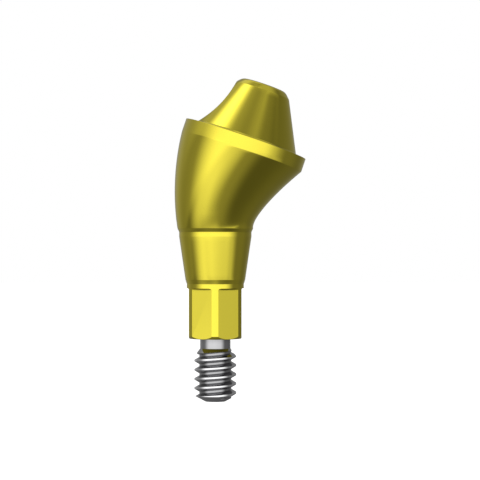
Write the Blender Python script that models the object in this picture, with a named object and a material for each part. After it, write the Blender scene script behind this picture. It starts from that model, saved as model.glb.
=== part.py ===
"""Angled multi-unit dental abutment with its captive abutment screw.

The origin is on the implant axis, at the top of the conical connection. +Z runs up that
axis and the prosthetic head leans towards +X. The part mirrors about the XZ plane, apart
from the screw's thread.
"""

import math

import bmesh
import bpy
from mathutils import Vector

MM = 0.001

# Prosthetic head, turned about the tilted axis
TILT_DEGREES = 18.8
TILT_PIVOT_HEIGHT = 0.12 * MM  # where the tilted axis leaves the implant axis
FLANGE_REACH = 3.62 * MM  # from that point along the tilted axis to the flange's top
FLANGE_DIAMETER = 4.8 * MM
FLANGE_THICKNESS = 0.51 * MM
FLANGE_EDGE_BREAK = 0.04 * MM
CONE_BASE_DIAMETER = 4.04 * MM
CONE_HALF_ANGLE_DEGREES = 26.0
CONE_HEIGHT = 2.16 * MM  # from the flange's top to the cone's end face
CONE_END_CHAMFER = 0.23 * MM

# Belly between the platform and the flange: two side curves that its sections follow
CONVEX_START_DEGREES = -9.8  # angles from +Z towards +X
CONVEX_START_HANDLE = 0.42 * MM
CONVEX_END_DEGREES = 13.9
CONVEX_END_HANDLE = 1.84 * MM
CONCAVE_START_DEGREES = -10.0
CONCAVE_START_HANDLE = 0.37 * MM
CONCAVE_END_DEGREES = 50.75
CONCAVE_END_HANDLE = 1.35 * MM
BELLY_SWELL = 0.08 * MM  # how far its sections bulge past round, front and back
BELLY_SWELL_SKEW = 0.75  # under 1 brings the fullest section down towards the platform
BELLY_SECTIONS = 16

# Implant platform and conical connection
PLATFORM_DIAMETER = 2.88 * MM
PLATFORM_LIP = 0.13 * MM  # height of the bevel under the platform's edge
COLLAR_DIAMETER = 2.755 * MM
COLLAR_LENGTH = 0.17 * MM
TAPER_LENGTH = 1.64 * MM
TAPER_HALF_ANGLE_DEGREES = 8.3

# Indexing hexagon, milled into the turned shank
HEX_ACROSS_FLATS = 2.0 * MM
HEX_FLAT_DEPTH = 0.0885 * MM  # how far each flat is milled into the shank
SHANK_SHOULDER = 0.15 * MM  # length of the bevel between the taper and the shank
SHANK_BAND = 0.175 * MM  # full round left above the flats
HEX_LENGTH = 1.925 * MM
HEX_END_CHAMFER = 0.1 * MM

# Screw channel along the implant axis, and the blind bore for the prosthetic screw
CHANNEL_DIAMETER = 1.72 * MM
SEAT_DEPTH = 1.2 * MM  # from the origin down to the outer edge of the screw's seat
SEAT_HALF_ANGLE_DEGREES = 45.0
PROSTHETIC_BORE_DIAMETER = 1.1 * MM
PROSTHETIC_BORE_DEPTH = 2.2 * MM
PROSTHETIC_BORE_MOUTH = 0.1 * MM  # countersink
DRILL_HALF_ANGLE_DEGREES = 59.0
DRILL_TIP_DIAMETER = 0.03 * MM

# Abutment screw
HEAD_CLEARANCE = 0.04 * MM
SEAT_GAP = 0.03 * MM
NECK_CLEARANCE = 0.05 * MM
HEAD_HEIGHT = 1.6 * MM
HEAD_CHAMFER = 0.08 * MM
SOCKET_ACROSS_FLATS = 0.9 * MM
SOCKET_DEPTH = 0.8 * MM
NECK_DIAMETER = 1.158 * MM
NECK_SHOWING = 0.37 * MM  # below the hexagon's end
THREAD_DIAMETER = 1.6 * MM
THREAD_PITCH = 0.35 * MM
THREAD_CREST_FLAT = 0.044 * MM
THREAD_ROOT_FLAT = 0.07 * MM
THREAD_FLANK_DEGREES = 30.0
THREAD_LENGTH = 2.02 * MM
THREAD_RUN_IN_DEGREES = 37.0  # half-angle of the bevel from the neck to the crest
THREAD_START_DEGREES = 118.0  # where the groove passes the top of the thread
TIP_HEIGHT = 0.22 * MM
TIP_HALF_ANGLE_DEGREES = 62.0

BODY_SEGMENTS = 72
SCREW_SEGMENTS = 48
OVERCUT = 0.4 * MM  # how far a cutter runs past the metal that it cuts
GROOVE_PROUD = 0.02 * MM  # how far the thread's cutter stands out of the crest
GROOVE_SPARE_TURNS = 0.6  # how far it winds on past each end of the thread
SHARP_ANGLE = math.radians(28.0)

# Heights along the implant axis
TAPER_TOP = -COLLAR_LENGTH
TAPER_BOTTOM = TAPER_TOP - TAPER_LENGTH
BAND_TOP = TAPER_BOTTOM - SHANK_SHOULDER
HEX_TOP = BAND_TOP - SHANK_BAND
HEX_BOTTOM = HEX_TOP - HEX_LENGTH
THREAD_TOP = HEX_BOTTOM - NECK_SHOWING

SHANK_RADIUS = HEX_ACROSS_FLATS / 2 + HEX_FLAT_DEPTH
CHANNEL_RADIUS = CHANNEL_DIAMETER / 2
NECK_RADIUS = NECK_DIAMETER / 2
NECK_BORE_RADIUS = NECK_RADIUS + NECK_CLEARANCE


def slope(degrees):
    return math.tan(math.radians(degrees))


def direction(degrees):
    """The unit vector in the XZ plane that leans this far from +Z towards +X."""
    return Vector((math.sin(math.radians(degrees)), 0.0, math.cos(math.radians(degrees))))


def level_chord(radius, height):
    """The two ends of a turned section's diameter, on the implant axis."""
    return Vector((-radius, 0.0, height)), Vector((radius, 0.0, height))


def tilted_chord(radius, height):
    """The two ends of a turned section's diameter, on the tilted axis, from the flange's top."""
    up = direction(TILT_DEGREES)
    across = Vector((up.z, 0.0, -up.x))
    centre = Vector((0.0, 0.0, TILT_PIVOT_HEIGHT)) + up * (FLANGE_REACH + height)
    return centre - across * radius, centre + across * radius


def ring(chord, segments, swell=0.0):
    """A round section over the chord, square to the XZ plane, deeper than wide by the swell."""
    centre = (chord[0] + chord[1]) / 2
    across = (chord[1] - chord[0]) / 2
    depth = Vector((0.0, across.length + swell, 0.0))
    turns = [2 * math.pi * index / segments for index in range(segments)]
    return [centre + across * math.cos(turn) + depth * math.sin(turn) for turn in turns]


def bezier(start, start_degrees, start_handle, end, end_degrees, end_handle, share):
    """A point on the cubic curve that leaves and arrives in the given directions."""
    near = start + direction(start_degrees) * start_handle
    far = end - direction(end_degrees) * end_handle
    rest = 1 - share
    return (
        start * rest**3
        + near * (3 * rest**2 * share)
        + far * (3 * rest * share**2)
        + end * share**3
    )


def loft(name, rings, looped=False):
    """A closed mesh through the rings, with flat ends, or joined into a loop."""
    shape = bmesh.new()
    rows = [[shape.verts.new(point) for point in points] for points in rings]
    pairs = list(zip(rows, rows[1:]))
    if looped:
        pairs.append((rows[-1], rows[0]))
    else:
        shape.faces.new(rows[0])
        shape.faces.new(rows[-1])
    for lower, upper in pairs:
        for index in range(len(lower)):
            after = (index + 1) % len(lower)
            shape.faces.new((lower[index], lower[after], upper[after], upper[index]))
    bmesh.ops.recalc_face_normals(shape, faces=shape.faces)
    mesh = bpy.data.meshes.new(name)
    shape.to_mesh(mesh)
    shape.free()
    mesh.shade_smooth()
    mesh.set_sharp_from_angle(angle=SHARP_ANGLE)
    made = bpy.data.objects.new(name, mesh)
    bpy.context.collection.objects.link(made)
    return made


def turned(name, profile, segments):
    """A solid of revolution about Z from (radius, height) pairs."""
    return loft(name, [ring(level_chord(radius, height), segments) for radius, height in profile])


def cut(solid, cutter):
    """Takes the cutter away from the solid and hides the cutter."""
    modifier = solid.modifiers.new(cutter.name, "BOOLEAN")
    modifier.operation = "DIFFERENCE"
    modifier.solver = "EXACT"
    modifier.object = cutter
    cutter.hide_render = True
    cutter.display_type = "WIRE"


def finish(name, colour, roughness):
    material = bpy.data.materials.new(name)
    material.use_nodes = True
    shader = material.node_tree.nodes["Principled BSDF"]
    shader.inputs["Base Color"].default_value = (*colour, 1.0)
    shader.inputs["Metallic"].default_value = 1.0
    shader.inputs["Roughness"].default_value = roughness
    material.diffuse_color = (*colour, 1.0)
    return material


def axis_empty(name, height, tilt):
    empty = bpy.data.objects.new(name, None)
    empty.location = (0.0, 0.0, height)
    empty.rotation_euler = (0.0, tilt, 0.0)
    empty.empty_display_size = CHANNEL_RADIUS
    bpy.context.collection.objects.link(empty)
    return empty


def connection_chords():
    """The turned outline from the hexagon's end up to the platform's edge."""
    collar = COLLAR_DIAMETER / 2
    taper_end = collar - TAPER_LENGTH * slope(TAPER_HALF_ANGLE_DEGREES)
    return [
        level_chord(SHANK_RADIUS - HEX_END_CHAMFER, HEX_BOTTOM),
        level_chord(SHANK_RADIUS, HEX_BOTTOM + HEX_END_CHAMFER),
        level_chord(SHANK_RADIUS, BAND_TOP),
        level_chord(taper_end, TAPER_BOTTOM),
        level_chord(collar, TAPER_TOP),
        level_chord(collar, 0.0),
        level_chord(PLATFORM_DIAMETER / 2, PLATFORM_LIP),
    ]


def belly_rings():
    """Sections that swing from the level platform to the tilted flange, fullest between them."""
    convex_start, concave_start = level_chord(PLATFORM_DIAMETER / 2, PLATFORM_LIP)
    convex_end, concave_end = tilted_chord(FLANGE_DIAMETER / 2, -FLANGE_THICKNESS)
    rings = []
    for section in range(1, BELLY_SECTIONS + 1):
        share = section / BELLY_SECTIONS
        convex = bezier(
            convex_start,
            CONVEX_START_DEGREES,
            CONVEX_START_HANDLE,
            convex_end,
            CONVEX_END_DEGREES,
            CONVEX_END_HANDLE,
            share,
        )
        concave = bezier(
            concave_start,
            CONCAVE_START_DEGREES,
            CONCAVE_START_HANDLE,
            concave_end,
            CONCAVE_END_DEGREES,
            CONCAVE_END_HANDLE,
            share,
        )
        rise = share**BELLY_SWELL_SKEW
        swell = BELLY_SWELL * (4 * rise * (1 - rise)) ** 2
        rings.append(ring((convex, concave), BODY_SEGMENTS, swell))
    return rings


def head_chords():
    """The flange's wall and top, and the cone with its chamfered end."""
    flange = FLANGE_DIAMETER / 2
    cone = CONE_BASE_DIAMETER / 2
    straight = CONE_HEIGHT - CONE_END_CHAMFER
    cone_end = cone - straight * slope(CONE_HALF_ANGLE_DEGREES)
    return [
        tilted_chord(flange, -FLANGE_EDGE_BREAK),
        tilted_chord(flange - FLANGE_EDGE_BREAK, 0.0),
        tilted_chord(cone, 0.0),
        tilted_chord(cone_end, straight),
        tilted_chord(cone_end - CONE_END_CHAMFER, CONE_HEIGHT),
    ]


def hexagon(across_flats, height):
    """A hexagon about Z with two of its flats facing +X and -X."""
    corner = across_flats / 2 / math.cos(math.radians(30.0))
    turns = [math.radians(60.0 * index + 30.0) for index in range(6)]
    return [Vector((corner * math.cos(t), corner * math.sin(t), height)) for t in turns]


def hex_die():
    """What the six milled flats take off the shank: a frame with a hexagonal hole."""
    outside = 2 * (SHANK_RADIUS + OVERCUT)
    low = HEX_BOTTOM - OVERCUT
    return loft(
        "hex_die",
        [
            hexagon(outside, HEX_TOP),
            hexagon(HEX_ACROSS_FLATS, HEX_TOP),
            hexagon(HEX_ACROSS_FLATS, low),
            hexagon(outside, low),
        ],
        looped=True,
    )


def screw_channel():
    """The channel, the screw's conical seat and the bore round its neck."""
    seat_drop = (CHANNEL_RADIUS - NECK_BORE_RADIUS) / slope(SEAT_HALF_ANGLE_DEGREES)
    head_top = tilted_chord(CONE_BASE_DIAMETER / 2, CONE_HEIGHT)[0].z
    return turned(
        "screw_channel",
        [
            (NECK_BORE_RADIUS, HEX_BOTTOM - OVERCUT),
            (NECK_BORE_RADIUS, -SEAT_DEPTH - seat_drop),
            (CHANNEL_RADIUS, -SEAT_DEPTH),
            (CHANNEL_RADIUS, head_top + OVERCUT),
        ],
        BODY_SEGMENTS,
    )


def prosthetic_bore():
    """The blind bore down the cone, which runs into the screw channel near its floor."""
    radius = PROSTHETIC_BORE_DIAMETER / 2
    mouth = radius + PROSTHETIC_BORE_MOUTH
    floor = CONE_HEIGHT - PROSTHETIC_BORE_DEPTH
    point = DRILL_TIP_DIAMETER / 2
    return turned(
        "prosthetic_bore",
        [
            (point, floor - (radius - point) / slope(DRILL_HALF_ANGLE_DEGREES)),
            (radius, floor),
            (radius, CONE_HEIGHT - PROSTHETIC_BORE_MOUTH),
            (mouth, CONE_HEIGHT),
            (mouth + OVERCUT, CONE_HEIGHT + OVERCUT),
        ],
        SCREW_SEGMENTS,
    )


def abutment_body(implant_axis, tilted_axis):
    connection = [ring(chord, BODY_SEGMENTS) for chord in connection_chords()]
    head = [ring(chord, BODY_SEGMENTS) for chord in head_chords()]
    body = loft("abutment_body", connection + belly_rings() + head)
    body.parent = implant_axis
    for cutter in (hex_die(), screw_channel()):
        cutter.parent = implant_axis
        cut(body, cutter)
    bore = prosthetic_bore()
    bore.parent = tilted_axis
    bore.location = (0.0, 0.0, FLANGE_REACH)
    cut(body, bore)
    return body


def screw_blank(seat):
    """The turned screw before its socket and thread are cut, from the tip upwards."""
    head = CHANNEL_RADIUS - HEAD_CLEARANCE
    crest = THREAD_DIAMETER / 2
    tip = THREAD_TOP - THREAD_LENGTH
    tip_radius = crest - TIP_HEIGHT * slope(TIP_HALF_ANGLE_DEGREES)
    run_in = (crest - NECK_RADIUS) / slope(THREAD_RUN_IN_DEGREES)
    seat_rise = SEAT_GAP / math.sin(math.radians(SEAT_HALF_ANGLE_DEGREES))
    cone_slope = slope(SEAT_HALF_ANGLE_DEGREES)
    cone_top = seat_rise - HEAD_CLEARANCE / cone_slope
    cone_bottom = cone_top - (head - NECK_RADIUS) / cone_slope
    profile = [
        (tip_radius, tip - seat),
        (crest, tip + TIP_HEIGHT - seat),
        (crest, THREAD_TOP - run_in - seat),
        (NECK_RADIUS, THREAD_TOP - seat),
        (NECK_RADIUS, cone_bottom),
        (head, cone_top),
        (head, HEAD_HEIGHT - HEAD_CHAMFER),
        (head - HEAD_CHAMFER, HEAD_HEIGHT),
    ]
    return turned("abutment_screw", profile, SCREW_SEGMENTS)


def driver_socket():
    top = HEAD_HEIGHT + OVERCUT
    return loft(
        "driver_socket",
        [
            hexagon(SOCKET_ACROSS_FLATS, HEAD_HEIGHT - SOCKET_DEPTH),
            hexagon(SOCKET_ACROSS_FLATS, top),
        ],
    )


def thread_groove(seat):
    """A V-shaped bar wound right-handed round the screw, from above the thread past the tip."""
    flank = slope(THREAD_FLANK_DEGREES)
    depth = (THREAD_PITCH - THREAD_CREST_FLAT - THREAD_ROOT_FLAT) / 2 / flank
    root = THREAD_DIAMETER / 2 - depth
    outer = THREAD_DIAMETER / 2 + GROOVE_PROUD
    root_half = THREAD_ROOT_FLAT / 2
    outer_half = root_half + (depth + GROOVE_PROUD) * flank
    section = ((root, -root_half), (outer, -outer_half), (outer, outer_half), (root, root_half))
    start = math.radians(THREAD_START_DEGREES)
    above = math.ceil(GROOVE_SPARE_TURNS * SCREW_SEGMENTS)
    below = math.ceil((THREAD_LENGTH / THREAD_PITCH + GROOVE_SPARE_TURNS) * SCREW_SEGMENTS)
    rings = []
    for step in range(-below, above + 1):
        turn = start + 2 * math.pi * step / SCREW_SEGMENTS
        height = THREAD_TOP - seat + THREAD_PITCH * step / SCREW_SEGMENTS
        rings.append(
            [Vector((r * math.cos(turn), r * math.sin(turn), height + z)) for r, z in section]
        )
    return loft("thread_groove", rings)


def abutment_screw(implant_axis):
    """The screw, with its origin on the implant axis at its seat's outer edge."""
    seat = -SEAT_DEPTH
    screw = screw_blank(seat)
    screw.parent = implant_axis
    screw.location = (0.0, 0.0, seat)
    for cutter in (driver_socket(), thread_groove(seat)):
        cutter.parent = screw
        cut(screw, cutter)
    return screw


for existing in list(bpy.data.objects):
    bpy.data.objects.remove(existing)

gold = finish("gold_nitride", (0.80, 0.66, 0.10), 0.28)
titanium = finish("titanium", (0.54, 0.54, 0.56), 0.30)

implant_axis = axis_empty("implant_axis", 0.0, 0.0)
tilted_axis = axis_empty("tilted_axis", TILT_PIVOT_HEIGHT, math.radians(TILT_DEGREES))
tilted_axis.parent = implant_axis

body = abutment_body(implant_axis, tilted_axis)
body.data.materials.append(gold)
screw = abutment_screw(implant_axis)
screw.data.materials.append(titanium)
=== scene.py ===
import math

import bmesh
import bpy
from mathutils import Euler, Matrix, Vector


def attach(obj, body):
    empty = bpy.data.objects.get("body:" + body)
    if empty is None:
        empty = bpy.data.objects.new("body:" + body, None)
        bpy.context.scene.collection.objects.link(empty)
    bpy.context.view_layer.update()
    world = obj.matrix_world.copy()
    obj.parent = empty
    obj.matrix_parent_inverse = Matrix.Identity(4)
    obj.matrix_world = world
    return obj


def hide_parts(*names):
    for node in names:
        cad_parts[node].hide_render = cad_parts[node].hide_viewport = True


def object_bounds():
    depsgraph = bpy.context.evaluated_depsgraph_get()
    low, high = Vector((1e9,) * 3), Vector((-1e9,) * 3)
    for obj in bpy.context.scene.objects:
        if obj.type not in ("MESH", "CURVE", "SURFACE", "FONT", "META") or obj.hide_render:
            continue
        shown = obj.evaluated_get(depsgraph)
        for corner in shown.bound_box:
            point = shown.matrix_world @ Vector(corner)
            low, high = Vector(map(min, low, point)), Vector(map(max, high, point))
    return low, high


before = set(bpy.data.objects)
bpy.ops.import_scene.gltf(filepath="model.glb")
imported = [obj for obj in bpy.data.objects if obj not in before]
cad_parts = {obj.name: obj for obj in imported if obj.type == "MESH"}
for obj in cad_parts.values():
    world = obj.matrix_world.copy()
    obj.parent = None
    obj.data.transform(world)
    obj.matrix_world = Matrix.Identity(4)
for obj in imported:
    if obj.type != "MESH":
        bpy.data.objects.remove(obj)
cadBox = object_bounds()
print("frame loaded:", ", ".join(sorted(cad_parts)))

mm = 0.001
nearly = 0.002 * mm  # a vertex this near to where a test looks counts as there
leastGrowth = 1e-7  # a smaller change from one section to the next is rounding, and is skipped
leastTurn = 1e-9


# small helpers for selecting and shaping by hand

def deselectAll():
    for thing in bpy.context.selected_objects:
        thing.select_set(False)


def pick(piece):
    deselectAll()
    bpy.context.view_layer.objects.active = piece
    piece.select_set(True)


def nameNew(name):
    piece = bpy.context.object
    piece.name = name
    piece.data.name = name
    return piece


def applyPlace():
    # leaves the picked object at the origin, unturned and unscaled, with its place in its mesh
    bpy.ops.object.transform_apply(location=True, rotation=True, scale=True)


def slope(degrees):
    return math.tan(math.radians(degrees))


def lean(degrees):
    # unit vector in the XZ plane, leaning from +Z towards +X
    return Vector((math.sin(math.radians(degrees)), 0, math.cos(math.radians(degrees))))


def ringFrom(left, right, depth):
    # centre, radius, tilt and depth over width of the section that has this chord
    chord = right - left
    return (left + right) / 2, chord.length / 2, math.atan2(-chord.z, chord.x), depth


def levelRing(radius, height):
    # the same four of a round section about Z
    return Vector((0, 0, height)), radius, 0, 1


def turnY(angle, centre):
    # with no window transform.rotate turns the other way, so the sign is flipped here
    bpy.ops.transform.rotate(value=-angle, orient_axis="Y", orient_type="GLOBAL", center_override=centre)


def sweepRings(name, rings, vertices):
    # a filled circle, extruded from one section to the next and left closed at both ends
    centre, radius, tilt, depth = rings[0]
    deselectAll()
    bpy.ops.mesh.primitive_circle_add(vertices=vertices, radius=radius, fill_type="NGON", location=centre)
    piece = nameNew(name)
    bpy.ops.object.mode_set(mode="EDIT")
    bpy.ops.mesh.select_all(action="SELECT")
    if tilt:
        turnY(tilt, centre)
    for nextCentre, nextRadius, nextTilt, nextDepth in rings[1:]:
        bpy.ops.mesh.extrude_region_move(TRANSFORM_OT_translate={"value": nextCentre - centre})
        grow = nextRadius / radius
        if abs(grow - 1) > leastGrowth:
            bpy.ops.transform.resize(value=(grow, grow, grow), center_override=nextCentre)
        if abs(nextTilt - tilt) > leastTurn:
            turnY(nextTilt - tilt, nextCentre)
        if abs(nextDepth - depth) > leastGrowth:
            bpy.ops.transform.resize(value=(1, nextDepth / depth, 1), center_override=nextCentre)
        centre, radius, tilt, depth = nextCentre, nextRadius, nextTilt, nextDepth
    bpy.ops.mesh.select_all(action="SELECT")
    bpy.ops.mesh.normals_make_consistent(inside=False)
    bpy.ops.object.mode_set(mode="OBJECT")
    applyPlace()
    return piece


def turnPiece(name, profile, vertices, start=0):
    # a turned piece about Z, from (radius, height) pairs; its first vertex is at this angle in degrees
    piece = sweepRings(name, [levelRing(radius, height) for radius, height in profile], vertices)
    piece.rotation_euler = (0, 0, math.radians(start))
    applyPlace()
    return piece


def applyModifier(piece, kind, **settings):
    pick(piece)
    modifier = piece.modifiers.new(kind.lower(), kind)
    for key, value in settings.items():
        setattr(modifier, key, value)
    bpy.ops.object.modifier_apply(modifier=modifier.name)


def cutWith(piece, cutter):
    applyModifier(piece, "BOOLEAN", operation="DIFFERENCE", solver="EXACT", object=cutter)
    bpy.data.objects.remove(cutter)


def roundEdges(piece, test, width, segments=3, sharpest=0):
    # bevel the edges whose two ends both pass the test and whose faces meet at this angle or more
    pick(piece)
    bpy.ops.object.mode_set(mode="EDIT")
    bpy.ops.mesh.select_mode(type="EDGE")
    bpy.ops.mesh.select_all(action="DESELECT")
    mesh = bmesh.from_edit_mesh(piece.data)
    found = 0
    for edge in mesh.edges:
        if all(test(end.co) for end in edge.verts) and edge.calc_face_angle(0) >= sharpest:
            edge.select = True
            found += 1
    bmesh.update_edit_mesh(piece.data)
    bpy.ops.mesh.bevel(
        offset=width,
        offset_type="OFFSET",
        segments=segments,
        affect="EDGES",
        clamp_overlap=True,
    )
    bpy.ops.object.mode_set(mode="OBJECT")
    print("rounded", found, "edges of", piece.name)


# body: turned connection, lofted belly, tilted flange and cone

head = {
    "tilt": 18.8,
    "pivotHeight": 0.12 * mm,
    "flangeReach": 3.62 * mm,
    "flangeRadius": 2.4 * mm,
    "flangeThickness": 0.51 * mm,
    "flangeTopRound": 0.015 * mm,
    "flangeFootRound": 0.02 * mm,
    "coneBaseRadius": 2.02 * mm,
    "coneHalfAngle": 26.0,
    "coneHeight": 2.16 * mm,
    "coneFootRound": 0.08 * mm,
    "coneEndChamfer": 0.23 * mm,
    "chamferFootRound": 0.008 * mm,
    "chamferTopRound": 0.1 * mm,
    "coneSections": 12,
    "wallSections": 3,
}
belly = {
    "convexStart": (-9.8, 0.42 * mm),  # lean and handle length of the curve up the convex side
    "convexEnd": (13.9, 1.84 * mm),
    "concaveStart": (-10.0, 0.37 * mm),
    "concaveEnd": (50.75, 1.35 * mm),
    "swell": 0.04 * mm,  # how far its sections bulge past round, front and back
    "fullest": 0.3,  # where they do so most, as a share of the way up
    "sections": 48,
}
connection = {
    "platformRadius": 1.44 * mm,
    "platformLip": 0.13 * mm,
    "platformRound": 0.012 * mm,
    "collarRadius": 1.3775 * mm,
    "collarLength": 0.17 * mm,
    "collarTopRound": 0.008 * mm,
    "taperLength": 1.64 * mm,
    "taperHalfAngle": 8.3,
    "taperSections": 8,
    "taperTopRound": 0.01 * mm,
    "taperEndRound": 0.01 * mm,
    "shoulderLength": 0.16 * mm,
    "bandLength": 0.165 * mm,
    "bandTopRound": 0.008 * mm,
    "hexAcrossFlats": 2.0 * mm,
    "hexFlatDepth": 0.0885 * mm,
    "hexLength": 1.925 * mm,
    "hexEndChamfer": 0.1 * mm,
    "hexEndRound": 0.02 * mm,
    "flatTopRound": 0.05 * mm,  # left by the mill's corner at the top of each flat
    "flatTopSegments": 5,
    "flatEdgeRound": 0.018 * mm,
    "flatEdgeSegments": 2,
    "flatEdgeSharpest": 10.0,  # edges that are flatter than this, in degrees, aren't a flat's
}
bores = {
    "channelRadius": 0.86 * mm,
    "seatDepth": 1.2 * mm,
    "neckBoreRadius": 0.629 * mm,
    "prostheticRadius": 0.55 * mm,
    "prostheticDepth": 2.2 * mm,
    "prostheticMouth": 0.1 * mm,
    "drillHalfAngle": 59.0,
    "drillTipRadius": 0.015 * mm,
    "overcut": 0.4 * mm,
    "offAngle": 0.37,  # turns the round cutters, so that their edges meet none of the body's
}
bodyVertices = 288
smoothAngle = 8.0  # faces that meet at less than this, in degrees, are shaded as one

up = lean(head["tilt"])
across = Vector((up.z, 0, -up.x))
flangeTop = Vector((0, 0, head["pivotHeight"])) + up * head["flangeReach"]
taperTop = -connection["collarLength"]
taperBottom = taperTop - connection["taperLength"]
bandTop = taperBottom - connection["shoulderLength"]
hexTop = bandTop - connection["bandLength"]
hexBottom = hexTop - connection["hexLength"]
shankRadius = connection["hexAcrossFlats"] / 2 + connection["hexFlatDepth"]
taperEnd = connection["collarRadius"] - connection["taperLength"] * slope(connection["taperHalfAngle"])
coneStraight = head["coneHeight"] - head["coneEndChamfer"]
coneEnd = head["coneBaseRadius"] - coneStraight * slope(head["coneHalfAngle"])


def tiltedRing(radius, height):
    # on the tilted axis, measured from the flange's top
    return flangeTop + up * height, radius, math.radians(head["tilt"]), 1


def along(start, end, steps):
    return [start + (end - start) * step / steps for step in range(1, steps + 1)]


def connectionRings():
    chamfer = connection["hexEndChamfer"]
    rings = [
        levelRing(shankRadius - chamfer, hexBottom),
        levelRing(shankRadius, hexBottom + chamfer),
        levelRing(shankRadius, hexTop),
        levelRing(shankRadius, bandTop),
        levelRing(taperEnd, taperBottom),
    ]
    steps = connection["taperSections"]
    radii = along(taperEnd, connection["collarRadius"], steps)
    heights = along(taperBottom, taperTop, steps)
    rings += [levelRing(radius, height) for radius, height in zip(radii, heights)]
    rings.append(levelRing(connection["collarRadius"], 0))
    rings.append(levelRing(connection["platformRadius"], connection["platformLip"]))
    return rings


def curvePoint(start, leaving, end, arriving, share):
    near = start + lean(leaving[0]) * leaving[1]
    far = end - lean(arriving[0]) * arriving[1]
    rest = 1 - share
    return start * rest**3 + near * (3 * rest**2 * share) + far * (3 * rest * share**2) + end * share**3


def bellyRings():
    radius, height = connection["platformRadius"], connection["platformLip"]
    wallFoot = flangeTop - up * head["flangeThickness"]
    rings = []
    for step in range(1, belly["sections"] + 1):
        share = step / belly["sections"]
        convex = curvePoint(
            Vector((-radius, 0, height)),
            belly["convexStart"],
            wallFoot - across * head["flangeRadius"],
            belly["convexEnd"],
            share,
        )
        concave = curvePoint(
            Vector((radius, 0, height)),
            belly["concaveStart"],
            wallFoot + across * head["flangeRadius"],
            belly["concaveEnd"],
            share,
        )
        if share < belly["fullest"]:
            full = 1 - (1 - share / belly["fullest"]) ** 2
        else:
            left = (1 - share) / (1 - belly["fullest"])
            full = left**2 * (3 - 2 * left)
        swell = belly["swell"] * full
        rings.append(ringFrom(convex, concave, 1 + swell / ((concave - convex).length / 2)))
    return rings


def headRings():
    heights = along(-head["flangeThickness"], 0, head["wallSections"])
    rings = [tiltedRing(head["flangeRadius"], height) for height in heights]
    rings.append(tiltedRing(head["coneBaseRadius"], 0))
    radii = along(head["coneBaseRadius"], coneEnd, head["coneSections"])
    heights = along(0, coneStraight, head["coneSections"])
    rings += [tiltedRing(radius, height) for radius, height in zip(radii, heights)]
    rings.append(tiltedRing(coneEnd - head["coneEndChamfer"], head["coneHeight"]))
    return rings


def aboutImplant(point):
    # radius and height of a point about the implant axis
    return Vector((point.x, point.y)).length, point.z


def aboutHead(point):
    # radius and height of a point about the tilted axis, from the flange's top
    offset = point - flangeTop
    height = offset.dot(up)
    return (offset - up * height).length, height


def onCircle(about, radius, height):
    # a test for points on the circle of this size about the axis
    def test(point):
        reach, level = about(point)
        return abs(reach - radius) < nearly and abs(level - height) < nearly

    return test


body = sweepRings("abutmentBody", connectionRings() + bellyRings() + headRings(), bodyVertices)
print("body swept:", len(body.data.vertices), "vertices")

hexEnd = connection["hexEndChamfer"]
coneTip = coneEnd - head["coneEndChamfer"]
rounds = [
    # axis, radius and height of the circle, width of the round
    (aboutHead, head["flangeRadius"], 0, head["flangeTopRound"]),
    (aboutHead, head["flangeRadius"], -head["flangeThickness"], head["flangeFootRound"]),
    (aboutHead, head["coneBaseRadius"], 0, head["coneFootRound"]),
    (aboutHead, coneEnd, coneStraight, head["chamferFootRound"]),
    (aboutHead, coneTip, head["coneHeight"], head["chamferTopRound"]),
    (aboutImplant, connection["platformRadius"], connection["platformLip"], connection["platformRound"]),
    (aboutImplant, connection["collarRadius"], 0, connection["collarTopRound"]),
    (aboutImplant, connection["collarRadius"], taperTop, connection["taperTopRound"]),
    (aboutImplant, taperEnd, taperBottom, connection["taperEndRound"]),
    (aboutImplant, shankRadius, bandTop, connection["bandTopRound"]),
    (aboutImplant, shankRadius, hexBottom + hexEnd, connection["hexEndRound"]),
    (aboutImplant, shankRadius - hexEnd, hexBottom, connection["hexEndRound"]),
]
for about, radius, height, width in rounds:
    roundEdges(body, onCircle(about, radius, height), width)


# screw: turned head and neck, helical groove and driver socket

screwSizes = {
    "headRadius": 0.82 * mm,
    "headTop": 0.4 * mm,
    "headChamfer": 0.08 * mm,
    "coneTop": -1.198 * mm,
    "neckRadius": 0.579 * mm,
    "threadTop": -4.43 * mm,
    "tip": -6.45 * mm,
    "crestRadius": 0.8 * mm,
    "runInAngle": 37.0,
    "tipHeight": 0.22 * mm,
    "tipAngle": 62.0,
    "spareTurns": 1,  # of the groove beyond each end of the thread
    "socketFlats": 0.9 * mm,
    "socketDepth": 0.8 * mm,
    "vertices": 144,
}
metricProfile = {
    "flankAngle": 30.0,
    "proud": 0.02 * mm,  # how far the cutting bar stands out of the metal
}
screwThread = {
    **metricProfile,
    "crestRadius": screwSizes["crestRadius"],
    "pitch": 0.35 * mm,
    "crestFlat": 0.06 * mm,
    "rootFlat": 0.07 * mm,
    "way": -1,  # the groove goes inwards on a screw and outwards in a bore
    "startAngle": 118.0,
}


def screwProfile():
    crest, neck, rim = screwSizes["crestRadius"], screwSizes["neckRadius"], screwSizes["headRadius"]
    tip, threadTop = screwSizes["tip"], screwSizes["threadTop"]
    coneTop, headTop = screwSizes["coneTop"], screwSizes["headTop"]
    chamfer = screwSizes["headChamfer"]
    runIn = (crest - neck) / slope(screwSizes["runInAngle"])
    return [
        (crest - screwSizes["tipHeight"] * slope(screwSizes["tipAngle"]), tip),
        (crest, tip + screwSizes["tipHeight"]),
        (crest, threadTop - runIn),
        (neck, threadTop),
        (neck, coneTop - (rim - neck)),
        (rim, coneTop),
        (rim, headTop - chamfer),
        (rim - chamfer, headTop),
    ]


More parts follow.
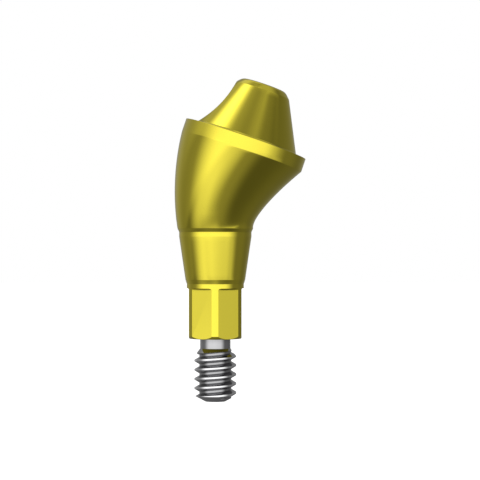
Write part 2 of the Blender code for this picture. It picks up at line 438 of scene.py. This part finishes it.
def grooveSection(thread):
    # (radius, height) of the corners of the bar that cuts the groove
    flank = slope(thread["flankAngle"])
    depth = (thread["pitch"] - thread["crestFlat"] - thread["rootFlat"]) / 2 / flank
    root = thread["crestRadius"] + thread["way"] * depth
    outside = thread["crestRadius"] - thread["way"] * thread["proud"]
    half = thread["rootFlat"] / 2
    outsideHalf = half + (depth + thread["proud"]) * flank
    return [(root, -half), (outside, -outsideHalf), (outside, outsideHalf), (root, half)]


def windBar(name, thread, startHeight, turns):
    # a bar wound right-handed about Z by the Screw modifier, its ends closed, to cut this thread's groove
    section = grooveSection(thread)
    deselectAll()
    bpy.ops.mesh.primitive_circle_add(vertices=len(section), radius=section[0][0], fill_type="NOTHING")
    bar = nameNew(name)
    for vertex, (radius, height) in zip(bar.data.vertices, section):
        vertex.co = (radius, 0, height + startHeight)
    applyModifier(
        bar,
        "SCREW",
        axis="Z",
        angle=2 * math.pi,
        screw_offset=thread["pitch"],
        iterations=turns,
        steps=screwSizes["vertices"],
        render_steps=screwSizes["vertices"],
        use_merge_vertices=False,
    )
    bpy.ops.object.mode_set(mode="EDIT")
    bpy.ops.mesh.select_all(action="SELECT")
    bpy.ops.mesh.fill_holes(sides=0)
    bpy.ops.mesh.normals_make_consistent(inside=False)
    bpy.ops.object.mode_set(mode="OBJECT")
    bar.rotation_euler = (0, 0, math.radians(thread["startAngle"]))
    applyPlace()
    return bar


screw = turnPiece("abutmentScrew", screwProfile(), screwSizes["vertices"])
threadLength = screwSizes["threadTop"] - screwSizes["tip"]
grooveTurns = math.ceil(threadLength / screwThread["pitch"]) + 2 * screwSizes["spareTurns"]
grooveBottom = screwSizes["threadTop"] - (grooveTurns - screwSizes["spareTurns"]) * screwThread["pitch"]
cutWith(screw, windBar("threadGroove", screwThread, grooveBottom, grooveTurns))
print("screw threaded:", len(screw.data.vertices), "vertices")


# cuts in the body, and the screw's socket

prostheticThread = {
    **metricProfile,
    "crestRadius": bores["prostheticRadius"],
    "pitch": 0.3 * mm,
    "crestFlat": 0.09 * mm,
    "rootFlat": 0.0375 * mm,
    "way": 1,
    "turns": 6,
    "startAngle": 40.0,
}
neckThread = {
    **metricProfile,
    "crestRadius": bores["neckBoreRadius"],
    "pitch": screwThread["pitch"],
    "crestFlat": 0.0875 * mm,
    "rootFlat": 0.044 * mm,
    "way": 1,
    "turns": 4,
    "startAngle": 75.0,
}


def hexCorner(acrossFlats):
    # from a hexagon's centre to its corners
    return acrossFlats / 2 / math.cos(math.radians(30))


def hexBar(name, acrossFlats, low, high):
    deselectAll()
    bpy.ops.mesh.primitive_cylinder_add(
        vertices=6,
        radius=hexCorner(acrossFlats),
        depth=high - low,
        location=(0, 0, (low + high) / 2),
    )
    bar = nameNew(name)
    applyPlace()
    return bar


def hexDie():
    # a thick sleeve with a hexagonal hole, which leaves all six flats; its upper inner edges are round
    flats, spare = connection["hexAcrossFlats"], bores["overcut"]
    low = hexBottom - spare
    die = hexBar("hexDie", 2 * (shankRadius + spare), low, hexTop)
    cutWith(die, hexBar("hexCore", flats, low - spare, hexTop + spare))
    upperCorners = onCircle(aboutImplant, hexCorner(flats), hexTop)
    roundEdges(die, upperCorners, connection["flatTopRound"], connection["flatTopSegments"])
    return die


def onFlatEdge(point):
    # on the shank's outline beside a milled flat, below the flat's round and above the end's chamfer
    reach, level = aboutImplant(point)
    low = hexBottom + connection["hexEndChamfer"] - nearly
    return abs(reach - shankRadius) < nearly and low < level < hexTop + nearly


def screwChannel():
    drop = bores["channelRadius"] - bores["neckBoreRadius"]
    profile = [
        (bores["neckBoreRadius"], hexBottom - bores["overcut"]),
        (bores["neckBoreRadius"], -bores["seatDepth"] - drop),
        (bores["channelRadius"], -bores["seatDepth"]),
        (bores["channelRadius"], cadBox[1][2] + bores["overcut"]),
    ]
    return turnPiece("screwChannel", profile, bodyVertices, bores["offAngle"])


def toHead(piece):
    # from the implant axis to the tilted one, with the origin's level going to the flange's top
    pick(piece)
    piece.rotation_euler = (0, math.radians(head["tilt"]), 0)
    piece.location = flangeTop
    applyPlace()
    return piece


def prostheticBore():
    radius = bores["prostheticRadius"]
    floor = head["coneHeight"] - bores["prostheticDepth"]
    point = floor - (radius - bores["drillTipRadius"]) / slope(bores["drillHalfAngle"])
    flare = bores["prostheticMouth"] + bores["overcut"]
    mouth = head["coneHeight"] - bores["prostheticMouth"]
    profile = [
        (bores["drillTipRadius"], point),
        (radius, floor),
        (radius, mouth),
        (radius + flare, mouth + flare),
    ]
    return toHead(turnPiece("prostheticBore", profile, screwSizes["vertices"], bores["offAngle"]))


def boreThreads():
    # the bars that cut the prosthetic screw's thread and the one that keeps the abutment screw in
    turns = prostheticThread["turns"]
    low = head["coneHeight"] - (turns - 1) * prostheticThread["pitch"]
    high = toHead(windBar("prostheticThread", prostheticThread, low, turns))
    return high, windBar("neckThread", neckThread, hexBottom - neckThread["pitch"], neckThread["turns"])


cutWith(body, hexDie())
cutWith(body, screwChannel())
cutWith(body, prostheticBore())
for cutter in boreThreads():
    cutWith(body, cutter)
roundEdges(
    body,
    onFlatEdge,
    connection["flatEdgeRound"],
    connection["flatEdgeSegments"],
    math.radians(connection["flatEdgeSharpest"]),
)
socketLow = screwSizes["headTop"] - screwSizes["socketDepth"]
socketHigh = screwSizes["headTop"] + bores["overcut"]
cutWith(screw, hexBar("driverSocket", screwSizes["socketFlats"], socketLow, socketHigh))
print("body cut:", len(body.data.vertices), "vertices")

for piece in (body, screw):
    pick(piece)
    bpy.ops.object.shade_smooth_by_angle(angle=math.radians(smoothAngle))

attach(body, "abutment")
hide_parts("abutment_body")
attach(screw, "screw")
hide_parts("abutment_screw")


# nodes for the metals and the studio, from sockets of other nodes or from plain values

number = "NodeSocketFloat"
vector = "NodeSocketVector"


def feed(tree, value, socket):
    if isinstance(value, bpy.types.NodeSocket):
        tree.links.new(value, socket)
    else:
        socket.default_value = value


def mathsIn(tree):
    # adds Math nodes to a tree
    def maths(operation, *values):
        node = tree.nodes.new("ShaderNodeMath")
        node.operation = operation
        for socket, value in zip(node.inputs, values):
            feed(tree, value, socket)
        return node.outputs["Value"]

    return maths


def vectorMaths(tree, operation, *values):
    node = tree.nodes.new("ShaderNodeVectorMath")
    node.operation = operation
    for socket, value in zip(node.inputs, values):
        feed(tree, value, socket)
    return node


def dotIn(tree, one, other):
    return vectorMaths(tree, "DOT_PRODUCT", one, other).outputs["Value"]


def blend(tree, one, other, share):
    # this share of the first value and the rest of the second
    maths = mathsIn(tree)
    return maths("MULTIPLY_ADD", one, share, maths("MULTIPLY", other, 1 - share))


def ramp(tree, value, start, end, results=(0, 1), kind="LINEAR"):
    # runs from the first result to the second while the value runs from start to end
    node = tree.nodes.new("ShaderNodeMapRange")
    node.interpolation_type = kind
    feed(tree, value, node.inputs["Value"])
    feed(tree, start, node.inputs["From Min"])
    feed(tree, end, node.inputs["From Max"])
    feed(tree, results[0], node.inputs["To Min"])
    feed(tree, results[1], node.inputs["To Max"])
    return node.outputs["Result"]


def noiseIn(tree, kind, place, scale, detail):
    node = tree.nodes.new("ShaderNodeTexNoise")
    node.noise_dimensions = kind
    feed(tree, place, node.inputs["W" if kind == "1D" else "Vector"])
    node.inputs["Scale"].default_value = scale
    node.inputs["Detail"].default_value = detail
    return node.outputs["Fac"]


def mixColours(tree, share, plain, other):
    # the plain colour where the share is 0 and the other one where it is 1
    node = tree.nodes.new("ShaderNodeMix")
    node.data_type = "RGBA"
    feed(tree, share, node.inputs["Factor"])
    feed(tree, plain, node.inputs["A"])
    feed(tree, other, node.inputs["B"])
    return node.outputs["Result"]


def mixShaders(tree, share, plain, other):
    node = tree.nodes.new("ShaderNodeMixShader")
    for socket, source in zip(node.inputs, (share, plain, other)):
        feed(tree, source, socket)
    return node.outputs["Shader"]


def newGroup(name, inputs, outputs):
    # a node group with these sockets; gives the group, what comes in and what goes out
    group = bpy.data.node_groups.new(name, "ShaderNodeTree")
    for socket, kind in inputs:
        group.interface.new_socket(name=socket, in_out="INPUT", socket_type=kind)
    for socket, kind in outputs:
        group.interface.new_socket(name=socket, in_out="OUTPUT", socket_type=kind)
    return group, group.nodes.new("NodeGroupInput").outputs, group.nodes.new("NodeGroupOutput").inputs


def placeGroup(tree, group, values):
    node = tree.nodes.new("ShaderNodeGroup")
    node.node_tree = group
    for name, value in values.items():
        feed(tree, value, node.inputs[name])
    return node


# metals

latheMarks = {
    "fine": (26000, 2),  # scale and detail of the noise
    "wide": (5200, 1),
    "fineShare": 0.45,
    "swingTop": 2.4 * mm,  # from here up the rings lie square to the tilted axis
}
handlingAndShadeMarks = {
    "broad": (700, 3),
    "small": (5200, 2),
    "broadShare": 0.65,
    # rays: of the ambient occlusion that places the painted shade
    "rays": 8,
}
glossMarks = {
    "ringShare": 0.5,  # the rest comes from handling
    "range": (0.3, 0.7),  # of the marks, over which the roughness changes
}
metals = {
    "goldNitride": {
        "light": (0.915, 0.79, 0.077, 1),
        "deep": (0.885, 0.755, 0.072, 1),
        # painted shade: a near-black colour laid into corners and crevices by ambient occlusion, with its
        # reach and depth
        "corner": (0.04, 0.03, 0.004, 1),
        "cornerReach": 0.1 * mm,
        "cornerDepth": 2.4,
        "roughness": (0.075, 0.11),
        "relief": 0.00002 * mm,
    },
    "titanium": {
        "light": (0.56, 0.56, 0.57, 1),
        "deep": (0.5, 0.5, 0.51, 1),
        # painted shade: a near-black colour laid into corners and crevices by ambient occlusion, with its
        # reach and depth
        "corner": (0.04, 0.04, 0.042, 1),
        "cornerReach": 0.2 * mm,
        "cornerDepth": 0.6,
        # painted highlight: a near-white colour on the thread's crests, from crestStart out to crestFull
        "crest": (0.95, 0.95, 0.96, 1),
        "crestStart": 0.775 * mm,
        "crestFull": 0.797 * mm,
        "roughness": (0.025, 0.05),
        "relief": 0.00002 * mm,
    },
}


def turningGroup():
    # the faint rings that the lathe leaves, along a height in metres, as a mask and as a bump's height
    group, take, give = newGroup("turningRings", [("Height", number)], [("Mask", number), ("Relief", number)])
    fine = noiseIn(group, "1D", take["Height"], *latheMarks["fine"])
    wide = noiseIn(group, "1D", take["Height"], *latheMarks["wide"])
    group.links.new(blend(group, fine, wide, latheMarks["fineShare"]), give["Mask"])
    group.links.new(fine, give["Relief"])
    return group


def handlingAndShadeGroup():
    # soft cloudy patches from polishing and handling, and painted shade: a dark colour that ambient occlusion
    # lays into corners, crevices and hollows
    inputs = [("Place", vector), ("Reach", number), ("Depth", number)]
    group, take, give = newGroup("handlingAndShade", inputs, [("Cloud", number), ("Painted Shade", number)])
    maths = mathsIn(group)
    broad = noiseIn(group, "3D", take["Place"], *handlingAndShadeMarks["broad"])
    small = noiseIn(group, "3D", take["Place"], *handlingAndShadeMarks["small"])
    group.links.new(blend(group, broad, small, handlingAndShadeMarks["broadShare"]), give["Cloud"])
    # painted shade: ambient occlusion finds corners and crevices, which are then darkened
    shelter = group.nodes.new("ShaderNodeAmbientOcclusion")
    shelter.samples = handlingAndShadeMarks["rays"]
    group.links.new(take["Reach"], shelter.inputs["Distance"])
    closed = maths("SUBTRACT", 1, shelter.outputs["AO"])
    group.links.new(maths("MULTIPLY", closed, take["Depth"]), give["Painted Shade"])
    return group


def crestHighlightGroup():
    # grows from one distance from the Z axis to another: a painted highlight that lightens a thread's crests
    inputs = [("Place", vector), ("Start", number), ("Full", number)]
    group, take, give = newGroup("crestHighlights", inputs, [("Crest Highlight", number)])
    level = vectorMaths(group, "MULTIPLY", take["Place"], (1, 1, 0)).outputs["Vector"]
    reach = vectorMaths(group, "LENGTH", level).outputs["Value"]
    group.links.new(ramp(group, reach, take["Start"], take["Full"]), give["Crest Highlight"])
    return group


turning = turningGroup()
handlingAndShade = handlingAndShadeGroup()
crestHighlights = crestHighlightGroup()


def metal(name, heightAlong):
    # heightAlong gives the turning height from the tree and its Object coordinates
    values = metals[name]
    material = bpy.data.materials.new(name)
    material.use_nodes = True
    tree = material.node_tree
    shader = tree.nodes["Principled BSDF"]
    shader.inputs["Metallic"].default_value = 1
    place = tree.nodes.new("ShaderNodeTexCoord").outputs["Object"]
    rings = placeGroup(tree, turning, {"Height": heightAlong(tree, place)}).outputs
    shelter = {"Place": place, "Reach": values["cornerReach"], "Depth": values["cornerDepth"]}
    cloudAndShade = placeGroup(tree, handlingAndShade, shelter).outputs

    colour = mixColours(tree, cloudAndShade["Cloud"], values["deep"], values["light"])
    # painted shade: the colour goes dark where ambient occlusion finds corners and crevices
    colour = mixColours(tree, cloudAndShade["Painted Shade"], colour, values["corner"])
    # painted highlight: the thread's crests are given a lighter colour
    if "crest" in values:
        span = {"Place": place, "Start": values["crestStart"], "Full": values["crestFull"]}
        crest = placeGroup(tree, crestHighlights, span).outputs["Crest Highlight"]
        colour = mixColours(tree, crest, colour, values["crest"])
    tree.links.new(colour, shader.inputs["Base Color"])

    marks = blend(tree, rings["Mask"], cloudAndShade["Cloud"], glossMarks["ringShare"])
    rough = ramp(tree, marks, *glossMarks["range"], values["roughness"])
    tree.links.new(rough, shader.inputs["Roughness"])

    bump = tree.nodes.new("ShaderNodeBump")
    bump.inputs["Distance"].default_value = values["relief"]
    tree.links.new(rings["Relief"], bump.inputs["Height"])
    tree.links.new(bump.outputs["Normal"], shader.inputs["Normal"])
    return material


def heightOnScrew(tree, place):
    split = tree.nodes.new("ShaderNodeSeparateXYZ")
    tree.links.new(place, split.inputs["Vector"])
    return split.outputs["Z"]


def heightOnBody(tree, place):
    # level on the connection, swinging up the belly to the tilted axis of the head
    maths = mathsIn(tree)
    level = heightOnScrew(tree, place)
    swing = ramp(tree, level, connection["platformLip"], latheMarks["swingTop"], kind="SMOOTHSTEP")
    rise = maths("SUBTRACT", dotIn(tree, place, up), level)
    return maths("MULTIPLY_ADD", rise, swing, level)


body.data.materials.append(metal("goldNitride", heightOnBody))
screw.data.materials.append(metal("titanium", heightOnScrew))
print("metals set:", ", ".join(metals))


# camera, floor and light

shot = {
    "distance": 78 * mm,
    "aim": Vector((0.94 * mm, 0, -0.305 * mm)),
    "lens": 153.56,
    "sensor": 36.0,
    "clip": (1 * mm, 10),
}
floorSizes = {
    "side": 0.6,
    "place": (0, 0.1, -10.5 * mm),
    "colour": (0.9, 0.9, 0.9, 1),
    "glow": 0.8,
}
white = (1, 1, 1, 1)


def addCamera():
    lensData = bpy.data.cameras.new("photoCamera")
    lensData.lens = shot["lens"]
    lensData.sensor_width = shot["sensor"]
    lensData.clip_start, lensData.clip_end = shot["clip"]
    camera = bpy.data.objects.new("photoCamera", lensData)
    camera.location = shot["aim"] + Vector((0, -shot["distance"], 0))
    camera.rotation_euler = (math.radians(90), 0, 0)
    bpy.context.collection.objects.link(camera)
    bpy.context.scene.camera = camera


def addFloor():
    deselectAll()
    bpy.ops.mesh.primitive_plane_add(size=floorSizes["side"], location=floorSizes["place"])
    floor = nameNew("paleFloor")
    material = bpy.data.materials.new("paleFloor")
    material.use_nodes = True
    tree = material.node_tree
    shader = tree.nodes["Principled BSDF"]
    shader.inputs["Base Color"].default_value = floorSizes["colour"]
    shader.inputs["Emission Color"].default_value = white
    shader.inputs["Emission Strength"].default_value = floorSizes["glow"]
    # clear from below, so that the underside can be looked at
    below = tree.nodes.new("ShaderNodeNewGeometry").outputs["Backfacing"]
    clear = tree.nodes.new("ShaderNodeBsdfTransparent").outputs["BSDF"]
    seen = mixShaders(tree, below, shader.outputs["BSDF"], clear)
    tree.links.new(seen, tree.nodes["Material Output"].inputs["Surface"])
    floor.data.materials.append(material)
    floor.visible_glossy = False


studio = {
    "room": 0.04,
    "roomLean": (-0.1, 0.055, -0.145),  # how the room's light grows towards +X, the back and the top
    "roomLeast": 0.033,
    # softboxes on a far dome, placed by fitting the reflections on the metal to the photo's:
    # azimuth from the camera towards +X, elevation and roll, half width and half height,
    # softness of the sides and of the ends, strength
    "boxes": {
        "front": (-3.8, 2.3, -4, 62.5, 23.5, 22.2, 13.5, 1.16),
        "frontLeft": (-39.2, 15.6, 8.3, 54.4, 29.3, 31, 3.5, 0.28),
        "key": (-80.9, 60.8, -10.8, 15.1, 7.5, 13.8, 19.4, 2.34),
        "keyGlow": (-62.4, 58.3, 15.1, 30.4, 40.8, 40, 7.1, 0.54),
        "rightTop": (75.7, 58.6, 27.8, 21.7, 22, 14.1, 5, 0.51),
        "rightNarrow": (60.4, -0.9, 3.2, 73, 35.9, 39.8, 26.7, 0.18),
        "lowLeft": (-16.1, -27, 10.9, 23.6, 4.5, 9.5, 3.5, 0.33),
        "backLeft": (-166.9, 27.5, 0.5, 52.4, 39.1, 32.4, 23.1, 0.3),
        "lowRight": (68.3, -19.4, 7, 10.6, 4, 6.2, 3.5, 0.22),
        "backTop": (180, 58, 0, 26, 14, 14, 8, 0.4),
        "lowFront": (-8, -38.5, 0, 34, 10.5, 24, 9.5, 0.16),
    },
    "boxSockets": ("Half Width", "Half Height", "Side Softness", "End Softness", "Strength"),
    "boxAxes": {"Aside": (1, 0, 0), "Towards": (0, -1, 0), "Above": (0, 0, 1)},
}


def softBoxGroup():
    # a patch of light on the studio's dome, with soft edges
    inputs = [(name, vector) for name in ("Direction", *studio["boxAxes"])]
    inputs += [(name, number) for name in studio["boxSockets"]]
    group, take, give = newGroup("softBox", inputs, [("Light", number)])
    maths = mathsIn(group)

    def fade(distance, half, softness):
        outer = maths("ADD", half, softness)
        return ramp(group, distance, outer, maths("SUBTRACT", half, softness), kind="SMOOTHSTEP")

    aside, towards, above = [dotIn(group, take["Direction"], take[name]) for name in studio["boxAxes"]]
    sideways = maths("ABSOLUTE", maths("DEGREES", maths("ARCTAN2", aside, towards)))
    upwards = maths("ABSOLUTE", maths("DEGREES", maths("ARCSINE", above)))
    wide = fade(sideways, take["Half Width"], take["Side Softness"])
    high = fade(upwards, take["Half Height"], take["End Softness"])
    group.links.new(maths("MULTIPLY", maths("MULTIPLY", wide, high), take["Strength"]), give["Light"])
    return group


def addWorld():
    world = bpy.data.worlds.new("studio")
    world.use_nodes = True
    tree = world.node_tree
    maths = mathsIn(tree)
    direction = tree.nodes.new("ShaderNodeTexCoord").outputs["Generated"]
    split = tree.nodes.new("ShaderNodeSeparateXYZ")
    tree.links.new(direction, split.inputs["Vector"])
    light = studio["room"]
    for part, growth in zip(split.outputs, studio["roomLean"]):
        light = maths("MULTIPLY_ADD", part, growth, light)
    light = maths("MAXIMUM", light, studio["roomLeast"])
    softBox = softBoxGroup()
    for name, (azimuth, elevation, roll, *sizes) in studio["boxes"].items():
        turn = Euler([math.radians(angle) for angle in (-elevation, roll, azimuth)], "YXZ").to_matrix()
        values = {"Direction": direction}
        values.update({socket: turn @ Vector(way) for socket, way in studio["boxAxes"].items()})
        values.update(zip(studio["boxSockets"], sizes))
        box = placeGroup(tree, softBox, values)
        box.label = name
        light = maths("ADD", light, box.outputs["Light"])

    # the camera sees plain white, and the object reflects the room and its boxes
    seen = tree.nodes["Background"]
    seen.inputs["Color"].default_value = white
    room = tree.nodes.new("ShaderNodeBackground")
    tree.links.new(light, room.inputs["Strength"])
    sight = tree.nodes.new("ShaderNodeLightPath").outputs["Is Camera Ray"]
    shown = mixShaders(tree, sight, room.outputs["Background"], seen.outputs["Background"])
    tree.links.new(shown, tree.nodes["World Output"].inputs["Surface"])
    bpy.context.scene.world = world


addCamera()
addFloor()
addWorld()
bpy.context.scene.view_settings.view_transform = "Standard"
print("camera, floor and light set")
